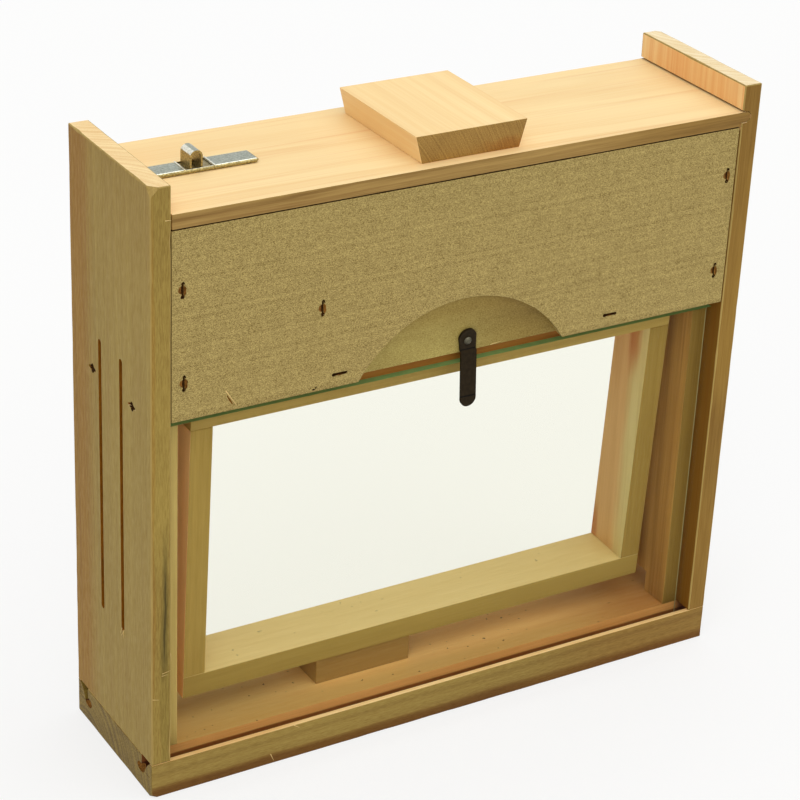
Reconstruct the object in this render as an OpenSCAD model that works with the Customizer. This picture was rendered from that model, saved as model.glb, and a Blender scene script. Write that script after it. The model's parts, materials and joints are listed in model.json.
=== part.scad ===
// Observation hive: a narrow wooden case with a pane front and back, one comb frame,
// a feed chamber above the comb and a lid that tilts on a tongue.
// Millimetres. +Z is up, the front faces -Y, the origin is the middle of the underside.

/* [Case] */
// Overall width
case_w = 310; // [280:1:420]
// Overall depth of the boards
case_d = 82; // [78:1:110]
// Height of the side boards' tops above the table
case_h = 300; // [285:1:380]
// Thickness of the base board
base_t = 18; // [14:0.5:26]
// Thickness of a side board
side_t = 9.5; // [8:0.5:14]
// Thickness of the lining inside a side board
lining_t = 8.5; // [7:0.5:14]
// Depth of the rebate in front of the linings, for the pane and the panel
rebate_d = 11; // [10:0.5:14]

/* [Panes and panels] */
// Thickness of the strip left in front of the pane's groove
lip_t = 2.4; // [1.6:0.1:4]
// Depth of the pane's groove in the base board
groove_depth = 8; // [5:0.5:10]
// Thickness of a pane
glass_t = 4; // [3:0.5:6]
// Height of the pane's top edge above the feeder floor's underside
glass_lap = 1.15; // [0.5:0.05:3]
// Thickness of a panel
panel_t = 10.5; // [9:0.25:14]
// Height of the panel's lower edge above the feeder floor's underside
panel_rise = 6.25; // [4:0.25:9]

/* [Finger scoop] */
// Radius of the scoop's round edge
scoop_r = 64; // [50:1:90]
// Height of the scoop above the panel's lower edge
scoop_rise = 30.5; // [24:0.5:40]
// How far the scoop's floor starts behind the pane's face
scoop_inset = 0.4; // [0.2:0.05:0.8]
// Depth of the scoop's edge at its highest point
scoop_apex_depth = 0.8; // [0.4:0.1:2]

/* [Turn-buttons] */
// Width of a turn-button
button_w = 8.9; // [7:0.1:12]
// Width of its arm, below the first crease
arm_w = 8.1; // [6.5:0.1:9]
// How far the arm stands to one side of the screw
arm_step = 1.2; // [0:0.1:1.5]
// Thickness of its sheet
button_t = 1.2; // [0.8:0.1:1.6]
// Length above the screw
button_above = 6; // [5:0.5:8]
// Length below the screw
button_below = 34; // [28:1:38]
// Distance from the screw to the first crease
button_crease = 5.3; // [4.5:0.1:6]
// How far the first crease steps out
button_jog = 0.75; // [0.6:0.05:1.5]
// Length of the bent tip
button_tip = 4.5; // [3:0.5:6]
// Bend of the tip towards the pane, in degrees
button_tip_bend = 4.5; // [0:0.5:5]
// How far the button leans from upright, in degrees
button_lean = 2.6; // [-8:0.2:8]
// Place of the screw to the right of the middle
button_x = 4.85; // [0:0.05:10]
// Height of the screw above the panel's lower edge, along the scoop's floor
button_rise = 6.93; // [6:0.01:10]
// Diameter of the screw
screw_d = 2.4; // [2:0.1:3]
// Diameter of the screw's head
screw_head_d = 4; // [3.6:0.1:6]
// Height of the screw's domed head
screw_head_h = 1.3; // [0.8:0.1:1.8]
// Depth of the screw in the wood
screw_len = 12; // [8:0.5:16]

/* [Feed chamber] */
// Thickness of the feeder floor
feeder_t = 18; // [15:0.5:24]
// Thickness of the partition
partition_t = 10; // [8:0.5:14]
// Place of the partition's middle
partition_x = -73; // [-90:1:-60]
// Gap between the partition and the lid, for the bees to climb over
partition_gap = 10; // [8:0.5:14]
// Diameter of the bees' way through the feeder floor
passage_d = 22; // [16:1:26]
// Wood left between that hole and the floor's rear edge
passage_edge = 5; // [4:0.5:8]

/* [Comb frame] */
// Gap between the frame and each lining
frame_side_gap = 9; // [6:0.5:14]
// Gap between the pane and the frame's top front edge
frame_front_gap = 5.56; // [3:0.01:9]
// Depth of the bars
frame_depth = 27; // [22:0.5:30]
// Height of the frame
frame_h = 151; // [130:1:160]
// How far the frame leans forward, in degrees
frame_lean = 2.75; // [0:0.25:4]
// Thickness of the bottom bar
bottom_bar_t = 11.5; // [8:0.5:15]
// Thickness of the top bar
top_bar_t = 7.8; // [6:0.1:12]
// Thickness of a side bar
side_bar_t = 11; // [8:0.5:15]
// Width of the block under the frame
block_w = 51.6; // [40:0.2:80]
// Depth of the block
block_d = 30.8; // [26:0.2:34]
// Height of the block
block_h = 14.4; // [10:0.2:20]
// Place of the block's middle
block_x = -30.7; // [-60:0.1:60]
// How far the block's front stands behind the frame's lower front edge
block_setback = 1.8; // [0:0.1:4]

/* [Openings] */
// Width of the entrance notch in the right lining
notch_w = 28; // [24:1:40]
// Height of that notch
notch_h = 11.4; // [10:0.2:14]
// Width of the entrance in the right side board
entrance_w = 24; // [12:1:28]
// Height of that entrance
entrance_h = 9; // [7:0.5:11]
// Width of a vent saw cut
vent_w = 3.1; // [1.6:0.1:4]
// Distance of each vent from the middle
vent_y = 10.9; // [6:0.1:12]
// Height of the vents' lower ends above the base board
vent_rise = 55.5; // [40:0.5:80]
// Length of a vent
vent_len = 136.9; // [80:0.1:150]

/* [Lid] */
// Thickness of the lid board
lid_t = 7; // [6:0.25:10]
// How far the lid's top lies below the side boards' tops
lid_drop = 13; // [8:0.5:18]
// Thickness of the tongue along the lid's right edge
tongue_t = 5; // [4:0.25:6]
// How far the middle of the tongue's round nose lies in the side board
tongue_reach = 2.2; // [1.5:0.1:3]
// Widening of the tongue's groove at its mouth, which lets the lid tilt
groove_flare = 0.7; // [0.6:0.05:1.2]
// Width of the handle at its foot
handle_foot_w = 50; // [40:1:60]
// Width of the handle at its top
handle_top_w = 57; // [44:1:70]
// Length of the handle
handle_len = 68; // [50:1:76]
// Height of the handle
handle_h = 13; // [10:0.5:20]
// Place of the handle's middle, to the right
handle_x = 1.8; // [-10:0.1:10]
// Place of the handle's middle, to the back
handle_y = -1; // [-4:0.1:4]

/* [Latch] */
// Place of the latch's middle, to the back
latch_y = 1.05; // [-10:0.05:10]
// Width of the sheet sleeve
sleeve_w = 11.1; // [9:0.1:14]
// Height of the sleeve
sleeve_h = 2.2; // [1.9:0.05:3]
// Thickness of its sheet
sleeve_sheet = 0.5; // [0.4:0.05:0.6]
// Length of the sleeve
sleeve_len = 56.3; // [48:0.1:70]
// Gap between the sleeve and the left side board
sleeve_end_gap = 2; // [1:0.1:4]
// Distance from the sleeve's left end to its window
window_inset = 22.5; // [16:0.1:26]
// Width of the finger loop along the bolt
loop_w = 6; // [5.9:0.1:8]
// Height of the finger loop above the bolt's underside
loop_h = 9.3; // [7:0.1:12]
// Radius of the finger loop's rounded top
loop_r = 2.9; // [1.5:0.1:2.9]
// Travel of the bolt into the side board, when it locks
lock_stroke = 2; // [1:0.1:4]
// Travel of the bolt from its resting place to the open end
open_stroke = 4.8; // [3:0.1:8]
// How far the bolt's tail shows past the sleeve
bolt_tail = 1; // [0.5:0.1:3]

/* [Fasteners] */
// Length of a staple's crown
staple_crown = 7; // [6:0.1:10]
// Thickness of a staple's wire
staple_wire = 1.2; // [0.8:0.1:1.4]
// How far a crown is sunk below the wood
staple_sink = 0.8; // [0.2:0.1:1.2]
// Length of the panel staples' legs
panel_leg = 22; // [16:1:25]
// Length of the side staples' legs
side_leg = 26; // [20:1:30]
// Length of the base staples' legs
base_leg = 38; // [28:1:44]
// Diameter of a frame nail
nail_d = 1.4; // [1:0.1:2]
// Diameter of a frame nail's head
nail_head_d = 3; // [2.6:0.1:4]
// Thickness of a frame nail's head
nail_head_h = 0.7; // [0.4:0.1:1]
// Length of a frame nail
nail_len = 25; // [18:1:30]
// Diameter of a handle screw
handle_screw_d = 3.2; // [2.5:0.1:4]
// Diameter of its countersunk head
handle_screw_head_d = 6.2; // [5:0.1:8]
// Length of a handle screw
handle_screw_len = 16; // [12:0.5:18]

/* [Hidden] */
$fn = 64;
// overrun of every cut
over = 1;
// gap at the sides of the lid, panels and panes
fit_gap = 0.5;
// gap between a moving piece and what it passes
run_gap = 0.3;
// gap under a turn-button, under its screw's head and round the bolt
slide_gap = 0.2;
// gap round a turn-button's screw
pivot_gap = 0.08;
// gap round a fastener in its hole
hole_gap = 0.05;
// gap between the bolt's edges and the sleeve's sides
bolt_side_gap = 0.4;
// gap between the frame and the feeder floor
frame_gap = 0.3;
// gap above the linings, and above the panels
lining_gap = 0.2;
panel_gap = 0.5;
// how far the lid stands back from the boards' edges
lid_inset = 0.2;
// length and width of the prongs that hold the sleeve on the lid
prong_len = 4;
prong_w = 1.6;
// places of fasteners: side, share of the lining's thickness, share of the panel's height
lining_staple_shares = [[-1, 0.34, 0.69], [-1, 0.26, 0.2], [1, 0.22, 0.2], [1, 0.42, 0.74]];
// shares of half the inner width, and of the feeder floor's thickness
floor_staple_x_shares = [-0.464, 0.583];
floor_staple_z_share = 0.7;
// share of the panel's height
partition_staple_share = 0.45;
// shares of the inner depth, and of the feeder floor's thickness
side_staple_y_shares = [-0.367, 0.317];
side_staple_z_share = 0.45;
// shares of the case's depth, of the bars' depth, of the handle's length and of the sleeve's length
base_staple_shares = [-0.25, 0.25];
nail_shares = [0.27, 0.73];
handle_screw_shares = [-0.28, 0.28];
prong_shares = [0.06, 0.94];

// widths and depths inside the case
board_in_x = case_w / 2 - side_t;
inner_w = 2 * (board_in_x - lining_t);
inner_d = case_d - 2 * rebate_d;

// heights of the lid
lid_top = case_h - lid_drop;
lid_z0 = lid_top - lid_t;
lid_half_w = board_in_x - fit_gap;
lid_d = case_d - 2 * lid_inset;
hinge_x = board_in_x + tongue_reach;
hinge_z = lid_top - tongue_t / 2;

// the comb frame's foot and what lies above it
frame_w = inner_w - 2 * frame_side_gap;
frame_foot_y = frame_front_gap + frame_h * sin(frame_lean) - inner_d / 2;
frame_foot_z = base_t + block_h - block_setback * tan(frame_lean);
feeder_z0 = frame_foot_z + frame_h * cos(frame_lean) + frame_depth * sin(frame_lean) + frame_gap;
feeder_z1 = feeder_z0 + feeder_t;
passage_x = (partition_x - partition_t / 2 - inner_w / 2) / 2;
passage_y = inner_d / 2 - passage_edge - passage_d / 2;

// the panel and its slanted scoop
panel_front_y = -inner_d / 2 - panel_t;
panel_z0 = feeder_z0 + panel_rise;
panel_h = lid_z0 - panel_gap - panel_z0;
scoop_wall = glass_t - scoop_inset;
scoop_slope = atan((panel_t - scoop_wall - scoop_apex_depth) / scoop_rise);
scoop_len = scoop_rise / cos(scoop_slope);

// the turn-button's arm, which hangs upright in front of the pane
jog_len = button_t;
arm_len = (button_below - button_tip - button_crease - jog_len) / cos(scoop_slope);
tip_slope = scoop_slope - button_tip_bend;
head_dome_r = (pow(screw_head_d / 2, 2) + pow(screw_head_h, 2)) / (2 * screw_head_h);

// the latch
sleeve_x0 = sleeve_end_gap - board_in_x;
sleeve_z = lid_top + sleeve_h / 2;
bolt_t = sleeve_h - 2 * sleeve_sheet - 2 * slide_gap;
bolt_w = sleeve_w - 2 * sleeve_sheet - 2 * bolt_side_gap;
bolt_z0 = lid_top + sleeve_sheet + slide_gap;
bolt_x0 = run_gap - board_in_x;
bolt_len = sleeve_x0 + sleeve_len + bolt_tail - bolt_x0;
window_len = loop_w + lock_stroke + open_stroke + 2 * slide_gap;
loop_x0 = sleeve_x0 + window_inset + slide_gap + lock_stroke;

// A flat outline with round ends, w long and h high
module stadium(w, h) {
    square([w - h, h], center = true);
    for (side = [-1, 1]) translate([side * (w - h) / 2, 0]) circle(d = h);
}

// An upright outline with two round upper corners, standing on y = 0
module arch(w, h, r) {
    translate([-w / 2, 0]) square([w, h - r]);
    translate([r - w / 2, 0]) square([w - 2 * r, h]);
    for (side = [-1, 1]) translate([side * (w / 2 - r), h - r]) circle(r = r);
}

// An outline in Y and Z, drawn out along X from x0
module along_x(x0, len) {
    translate([x0, 0, 0]) rotate([90, 0, 90]) linear_extrude(len) children();
}

// An outline in X and Z, drawn out along Y, equally to both sides
module along_y(len) {
    translate([0, len / 2, 0]) rotate([90, 0, 0]) linear_extrude(len) children();
}

// The back is the front turned half round
module to_back() {
    rotate([0, 0, 180]) children();
}

// One staple, driven along +Y through a face at y = 0, with its crown along X
module staple(leg) {
    translate([-staple_crown / 2, staple_sink, -staple_wire / 2])
        cube([staple_crown, staple_wire, staple_wire]);
    for (side = [-1, 1])
        translate([side * (staple_crown - staple_wire) / 2 - staple_wire / 2, staple_sink, -staple_wire / 2])
            cube([staple_wire, leg, staple_wire]);
}

// The slot and the two holes that such a staple makes
module staple_cut(leg) {
    hole = staple_wire + 2 * hole_gap;
    slot = staple_crown + 2 * hole_gap;
    translate([-slot / 2, -over, -hole / 2])
        cube([slot, over + staple_sink + staple_wire + hole_gap, hole]);
    for (side = [-1, 1])
        translate([side * (staple_crown - staple_wire) / 2 - hole / 2, staple_sink, -hole / 2])
            cube([hole, leg + hole_gap, hole]);
}

module at_lining_staples() {
    for (place = lining_staple_shares)
        translate([
            place[0] * (inner_w / 2 + place[1] * lining_t),
            panel_front_y,
            panel_z0 + place[2] * panel_h
        ])
            rotate([0, 90, 0]) children();
}

module at_floor_staples() {
    for (share = floor_staple_x_shares)
        translate([share * inner_w / 2, panel_front_y, feeder_z0 + floor_staple_z_share * feeder_t])
            children();
}

module at_partition_staple(x) {
    translate([x, panel_front_y, panel_z0 + partition_staple_share * panel_h])
        rotate([0, 90, 0]) children();
}

module at_panel_staples(x) {
    at_lining_staples() children();
    at_floor_staples() children();
    at_partition_staple(x) children();
}

module at_side_staples() {
    for (side = [-1, 1])
        for (share = side_staple_y_shares)
            translate([side * case_w / 2, share * inner_d, feeder_z0 + side_staple_z_share * feeder_t])
                rotate([0, 0, side * 90]) children();
}

module at_base_staples() {
    for (side = [-1, 1])
        for (share = base_staple_shares)
            translate([side * (case_w - side_t) / 2, share * case_d, 0])
                rotate([90, 0, 90]) children();
}

// The lining staples of both panels, as cuts
module lining_staple_cuts() {
    at_lining_staples() staple_cut(panel_leg);
    to_back() at_lining_staples() staple_cut(panel_leg);
}

// The scoop's own frame: X to the right, Z up its slanted floor, -Y out of it
module in_scoop() {
    translate([0, -inner_d / 2 - scoop_wall, panel_z0]) rotate([scoop_slope, 0, 0]) children();
}

// The turn-button's screw axis, with -Y out of the wood
module at_button() {
    in_scoop() translate([button_x, 0, button_rise]) children();
}

module button_screw_cut() {
    at_button() translate([0, -over, 0]) rotate([-90, 0, 0])
        cylinder(d = screw_d + 2 * hole_gap, h = screw_len + over + hole_gap);
}

// The comb frame's own frame: Z up its leaning front, Y to its back
module in_frame() {
    translate([0, frame_foot_y, frame_foot_z]) rotate([frame_lean, 0, 0]) children();
}

// The corner nails' places: up through the bottom bar, down through the top bar
module at_nails() {
    for (side = [-1, 1])
        for (share = nail_shares) {
            x = side * (frame_w - side_bar_t) / 2;
            translate([x, share * frame_depth, 0]) children();
            translate([x, share * frame_depth, frame_h]) mirror([0, 0, 1]) children();
        }
}

module nail(gap) {
    cylinder(d = nail_d + 2 * gap, h = nail_len + gap);
    translate([0, 0, -gap]) cylinder(d = nail_head_d + 2 * gap, h = nail_head_h + 2 * gap);
}

module handle_screw(gap) {
    head_h = (handle_screw_head_d - handle_screw_d) / 2;
    translate([0, 0, -gap])
        cylinder(d1 = handle_screw_head_d + 2 * gap, d2 = handle_screw_d + 2 * gap, h = head_h);
    cylinder(d = handle_screw_d + 2 * gap, h = handle_screw_len + gap);
}

module at_handle_screws() {
    for (share = handle_screw_shares)
        translate([handle_x, handle_y + share * handle_len, lid_z0]) children();
}

// The four prongs under the sleeve
module sleeve_prongs(gap) {
    for (share = prong_shares)
        for (side = [-1, 1])
            translate([
                sleeve_x0 + share * sleeve_len - prong_w / 2 - gap,
                latch_y + side * (sleeve_w - sleeve_h) / 2 - sleeve_sheet / 2 - gap,
                lid_top - prong_len - gap
            ])
                cube([prong_w + 2 * gap, sleeve_sheet + 2 * gap, prong_len + gap + sleeve_sheet / 2]);
}

// A saw cut with round ends, along X through a wall
module vents(x0, len) {
    for (side = [-1, 1])
        translate([0, side * vent_y, base_t + vent_rise + vent_len / 2])
            along_x(x0, len) rotate(90) stadium(vent_len, vent_w);
}

// An opening through a wall, standing on the base board
module doorway(x0, len, w, h) {
    translate([x0, -w / 2, base_t - over]) cube([len, w, h + over]);
}

module side_board_blank() {
    translate([board_in_x, -case_d / 2, base_t]) cube([side_t, case_d, case_h - base_t]);
}

module lining_blank() {
    translate([inner_w / 2, -inner_d / 2, base_t])
        cube([lining_t, inner_d, lid_z0 - lining_gap - base_t]);
}

module panel(x) {
    difference() {
        translate([-lid_half_w, panel_front_y, panel_z0]) cube([2 * lid_half_w, panel_t, panel_h]);
        in_scoop() translate([0, 0, scoop_len - scoop_r]) rotate([90, 0, 0])
            cylinder(r = scoop_r, h = panel_t);
        at_panel_staples(x) staple_cut(panel_leg);
        button_screw_cut();
    }
}

module pane() {
    z0 = base_t - groove_depth;
    translate([-lid_half_w, -inner_d / 2 - glass_t, z0])
        cube([2 * lid_half_w, glass_t, feeder_z0 + glass_lap - z0]);
}

// The turn-button's side view: flat on the scoop's floor, then upright before the pane
module button_side_view() {
    start = [-slide_gap, button_above];
    crease = [-slide_gap, -button_crease];
    knee = crease - [button_jog, jog_len];
    bend = knee - arm_len * [sin(scoop_slope), cos(scoop_slope)];
    tip = bend - (button_tip + over) * [sin(tip_slope), cos(tip_slope)];
    back = [start, crease, knee, bend, tip];
    front = [for (i = [len(back) - 1 : -1 : 0]) back[i] - [button_t, 0]];
    polygon(concat(back, front));
}

// The turn-button's outline: a round head that narrows to an arm with a round tip, a little to one side
module button_outline() {
    half = button_w / 2;
    arm_top = -button_crease - jog_len;
    arm_end = arm_w / 2 - button_below;
    translate([0, button_above - half]) circle(r = half);
    translate([arm_step, arm_end]) circle(d = arm_w);
    polygon([
        [-half, button_above - half], [arm_step - arm_w / 2, arm_top], [arm_step - arm_w / 2, arm_end],
        [arm_step + arm_w / 2, arm_end], [arm_step + arm_w / 2, arm_top], [half, button_above - half]
    ]);
}

module turn_button() {
    at_button() rotate([0, -button_lean, 0]) difference() {
        intersection() {
            along_x(-button_w, 2 * button_w) button_side_view();
            along_y(2 * button_below) button_outline();
        }
        along_y(2 * button_below) circle(d = screw_d + 2 * pivot_gap);
    }
}

module button_screw() {
    seat = button_t + 2 * slide_gap;
    at_button() rotate([90, 0, 0]) {
        translate([0, 0, -screw_len]) cylinder(d = screw_d, h = screw_len + seat + screw_head_h / 2);
        intersection() {
            translate([0, 0, seat + screw_head_h - head_dome_r]) sphere(r = head_dome_r);
            translate([0, 0, seat]) cylinder(d = screw_head_d, h = screw_head_h);
        }
    }
}

module side_bar(side) {
    in_frame() difference() {
        translate([side * (frame_w - side_bar_t) / 2 - side_bar_t / 2, 0, bottom_bar_t])
            cube([side_bar_t, frame_depth, frame_h - bottom_bar_t - top_bar_t]);
        at_nails() nail(hole_gap);
    }
}

module cross_bar(z0, thickness) {
    in_frame() difference() {
        translate([-frame_w / 2, 0, z0]) cube([frame_w, frame_depth, thickness]);
        at_nails() nail(hole_gap);
    }
}

// The lid's end view: the board, the tongue and the tongue's round nose
module lid_outline() {
    translate([-lid_half_w, lid_z0]) square([2 * lid_half_w, lid_t]);
    translate([lid_half_w - tongue_t, lid_top - tongue_t])
        square([hinge_x - lid_half_w + tongue_t, tongue_t]);
    translate([hinge_x, hinge_z]) circle(d = tongue_t);
}

// The groove round the tongue, wider above its mouth
module tongue_groove_outline() {
    r = tongue_t / 2 + run_gap;
    mouth = board_in_x - over - hinge_x;
    flare = groove_flare * (tongue_reach + over) / tongue_reach;
    translate([hinge_x, hinge_z]) {
        circle(r = r);
        polygon([[0, -r], [mouth, -r], [mouth, r + flare], [0, r]]);
    }
}

module base_board() {
    color("peru") difference() {
        translate([-case_w / 2, -case_d / 2, 0]) cube([case_w, case_d, base_t]);
        for (turn = [0, 180])
            rotate([0, 0, turn])
                translate([-case_w / 2 - over, lip_t - case_d / 2, base_t - groove_depth])
                    cube([case_w + 2 * over, rebate_d - lip_t, groove_depth + over]);
        at_base_staples() staple_cut(base_leg);
    }
}

module left_side_board() {
    mortise_h = bolt_t + 2 * run_gap;
    mortise_w = bolt_w + 2 * run_gap;
    mortise_d = lock_stroke + run_gap;
    color("tan") difference() {
        mirror([1, 0, 0]) side_board_blank();
        vents(-case_w / 2 - over, side_t + 2 * over);
        translate([-board_in_x - mortise_d, latch_y - mortise_w / 2, bolt_z0 - run_gap])
            cube([mortise_d + over, mortise_w, mortise_h]);
        at_side_staples() staple_cut(side_leg);
        at_base_staples() staple_cut(base_leg);
    }
}

module right_side_board() {
    color("tan") difference() {
        side_board_blank();
        along_y(case_d + 2 * over) tongue_groove_outline();
        doorway(board_in_x - over, side_t + 2 * over, entrance_w, entrance_h);
        at_side_staples() staple_cut(side_leg);
        at_base_staples() staple_cut(base_leg);
    }
}

module left_lining() {
    color("burlywood") difference() {
        mirror([1, 0, 0]) lining_blank();
        vents(-board_in_x - over, lining_t + 2 * over);
        lining_staple_cuts();
        at_side_staples() staple_cut(side_leg);
    }
}

module right_lining() {
    color("burlywood") difference() {
        lining_blank();
        doorway(inner_w / 2 - over, lining_t + 2 * over, notch_w, notch_h);
        lining_staple_cuts();
        at_side_staples() staple_cut(side_leg);
    }
}

module front_panel() {
    color("darkkhaki") panel(partition_x);
}

module rear_panel() {
    color("darkkhaki") to_back() panel(-partition_x);
}

module front_glass() {
    color("lightcyan", 0.4) pane();
}

module rear_glass() {
    color("lightcyan", 0.4) to_back() pane();
}

module feeder_floor() {
    color("sienna") difference() {
        translate([-inner_w / 2, -inner_d / 2, feeder_z0]) cube([inner_w, inner_d, feeder_t]);
        translate([passage_x, passage_y, feeder_z0 - over]) cylinder(d = passage_d, h = feeder_t + 2 * over);
        at_floor_staples() staple_cut(panel_leg);
        to_back() at_floor_staples() staple_cut(panel_leg);
        at_side_staples() staple_cut(side_leg);
        button_screw_cut();
        to_back() button_screw_cut();
    }
}

module feeder_partition() {
    color("burlywood") difference() {
        translate([partition_x - partition_t / 2, -inner_d / 2, feeder_z1])
            cube([partition_t, inner_d, lid_z0 - partition_gap - feeder_z1]);
        at_partition_staple(partition_x) staple_cut(panel_leg);
        to_back() at_partition_staple(-partition_x) staple_cut(panel_leg);
    }
}

module frame_rest_block() {
    color("goldenrod") translate([block_x - block_w / 2, frame_foot_y + block_setback, base_t])
        cube([block_w, block_d, block_h]);
}

module frame_top_bar() {
    color("wheat") cross_bar(frame_h - top_bar_t, top_bar_t);
}

module frame_bottom_bar() {
    color("wheat") cross_bar(0, bottom_bar_t);
}

module frame_left_bar() {
    color("wheat") side_bar(-1);
}

module frame_right_bar() {
    color("wheat") side_bar(1);
}

module frame_nails() {
    color("gray") in_frame() at_nails() nail(0);
}

module front_panel_staples() {
    color("dimgray") at_panel_staples(partition_x) staple(panel_leg);
}

module rear_panel_staples() {
    color("dimgray") to_back() at_panel_staples(-partition_x) staple(panel_leg);
}

module side_staples() {
    color("dimgray") at_side_staples() staple(side_leg);
}

module base_staples() {
    color("dimgray") at_base_staples() staple(base_leg);
}

module front_turn_button() {
    color("darkslategray") turn_button();
}

module rear_turn_button() {
    color("darkslategray") to_back() turn_button();
}

module front_button_screw() {
    color("slategray") button_screw();
}

module rear_button_screw() {
    color("slategray") to_back() button_screw();
}

module lid_board() {
    color("navajowhite") difference() {
        along_y(lid_d) lid_outline();
        at_handle_screws() handle_screw(hole_gap);
        sleeve_prongs(hole_gap);
    }
}

module lid_handle() {
    color("navajowhite") difference() {
        translate([handle_x, handle_y, lid_top]) along_y(handle_len)
            polygon([
                [-handle_foot_w / 2, 0], [handle_foot_w / 2, 0],
                [handle_top_w / 2, handle_h], [-handle_top_w / 2, handle_h]
            ]);
        at_handle_screws() handle_screw(hole_gap);
    }
}

module handle_screws() {
    color("silver") at_handle_screws() handle_screw(0);
}

module latch_sleeve() {
    bore_w = sleeve_w - 2 * sleeve_sheet;
    bore_h = sleeve_h - 2 * sleeve_sheet;
    window_w = bolt_w + 2 * run_gap;
    color("silver") {
        difference() {
            translate([0, latch_y, sleeve_z]) along_x(sleeve_x0, sleeve_len) stadium(sleeve_w, sleeve_h);
            translate([0, latch_y, sleeve_z])
                along_x(sleeve_x0 - over, sleeve_len + 2 * over) stadium(bore_w, bore_h);
            translate([sleeve_x0 + window_inset, latch_y - window_w / 2, sleeve_z])
                cube([window_len, window_w, sleeve_h]);
        }
        sleeve_prongs(0);
    }
}

// One strip, folded up into a loop between its two flat ends
module latch_bolt() {
    loop_x = loop_x0 + loop_w / 2;
    color("silver") translate([0, latch_y, bolt_z0]) along_y(bolt_w) difference() {
        union() {
            translate([bolt_x0, 0]) square([bolt_len, bolt_t]);
            translate([loop_x, 0]) arch(loop_w, loop_h, loop_r);
        }
        translate([loop_x, -over]) arch(loop_w - 2 * bolt_t, loop_h + over - bolt_t, loop_r - bolt_t);
    }
}

base_board();
left_side_board();
right_side_board();
left_lining();
right_lining();
front_panel();
rear_panel();
front_glass();
rear_glass();
feeder_floor();
feeder_partition();
frame_rest_block();
frame_top_bar();
frame_bottom_bar();
frame_left_bar();
frame_right_bar();
frame_nails();
front_panel_staples();
rear_panel_staples();
side_staples();
base_staples();
front_turn_button();
rear_turn_button();
front_button_screw();
rear_button_screw();
lid_board();
lid_handle();
handle_screws();
latch_sleeve();
latch_bolt();
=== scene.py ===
import json
import math

import bmesh
import bpy
from mathutils import Matrix, Vector, noise


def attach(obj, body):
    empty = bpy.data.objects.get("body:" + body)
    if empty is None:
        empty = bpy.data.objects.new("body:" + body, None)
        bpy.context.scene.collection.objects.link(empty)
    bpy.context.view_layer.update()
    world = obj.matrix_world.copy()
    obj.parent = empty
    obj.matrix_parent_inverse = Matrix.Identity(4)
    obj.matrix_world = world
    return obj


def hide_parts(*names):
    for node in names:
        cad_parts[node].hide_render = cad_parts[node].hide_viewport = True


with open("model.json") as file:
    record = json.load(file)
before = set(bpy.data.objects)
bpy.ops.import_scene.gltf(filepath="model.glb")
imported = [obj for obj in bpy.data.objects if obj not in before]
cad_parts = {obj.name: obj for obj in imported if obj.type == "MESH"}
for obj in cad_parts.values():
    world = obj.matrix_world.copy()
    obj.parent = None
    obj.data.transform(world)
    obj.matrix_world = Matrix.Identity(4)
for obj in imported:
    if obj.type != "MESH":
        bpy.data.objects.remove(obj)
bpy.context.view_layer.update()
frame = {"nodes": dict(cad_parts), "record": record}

# Torn wood is ragged in the same way on each run.
noise.seed_set(5)

MM = 0.001
UP = Vector((0, 0, 1))
AXES = ("X", "Y", "Z")
RECORD = frame["record"]
BODY_OF = {node: body for body, nodes in RECORD["behaviour"]["bodies"].items() for node in nodes}
SLOT_OF = {part["node"]: part["material_slot"] for part in RECORD["subparts"]}


def linear(code):
    """An sRGB hex colour as linear RGBA."""
    parts = [int(code[i:i + 2], 16) / 255 for i in (1, 3, 5)]
    return tuple(c / 12.92 if c <= 0.04045 else ((c + 0.055) / 1.055) ** 2.4 for c in parts) + (1,)


def add(tree, kind, inputs=None, **settings):
    """Adds a node, sets its options, and fills or links its inputs."""
    made = tree.nodes.new(kind)
    for key, value in settings.items():
        setattr(made, key, value)
    for key, value in (inputs or {}).items():
        if isinstance(value, bpy.types.NodeSocket):
            tree.links.new(value, made.inputs[key])
        else:
            made.inputs[key].default_value = value
    return made


def blank(name):
    """A new material with an empty node tree, and its surface output."""
    made = bpy.data.materials.new(name)
    made.use_nodes = True
    made.node_tree.nodes.clear()
    return made, made.node_tree, made.node_tree.nodes.new("ShaderNodeOutputMaterial")


def within(tree, place, spans):
    """A factor that is 1 inside every span (axis, four stops in mm) and fades to 0 outside."""
    split = add(tree, "ShaderNodeSeparateXYZ", {0: place})
    factor = None
    for axis, a, b, c, d in spans:
        where = split.outputs[axis]
        rise = add(tree, "ShaderNodeMapRange", {0: where, 1: a * MM, 2: b * MM},
                   interpolation_type="SMOOTHSTEP")
        fall = add(tree, "ShaderNodeMapRange", {0: where, 1: c * MM, 2: d * MM, 3: 1.0, 4: 0.0},
                   interpolation_type="SMOOTHSTEP")
        both = add(tree, "ShaderNodeMath", {0: rise.outputs[0], 1: fall.outputs[0]}, operation="MULTIPLY")
        if factor is not None:
            both = add(tree, "ShaderNodeMath", {0: factor, 1: both.outputs[0]}, operation="MULTIPLY")
        factor = both.outputs[0]
    return factor


def tinted(tree, place, colour, tints):
    """A colour multiplied by each tint (spans, sRGB hex, strength) inside its spans."""
    for spans, code, strength in tints:
        here = add(tree, "ShaderNodeMath", {0: within(tree, place, spans), 1: strength}, operation="MULTIPLY")
        colour = add(tree, "ShaderNodeMix", {0: here.outputs[0], 6: colour, 7: linear(code)},
                     data_type="RGBA", blend_type="MULTIPLY").outputs[2]
    return colour


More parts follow.
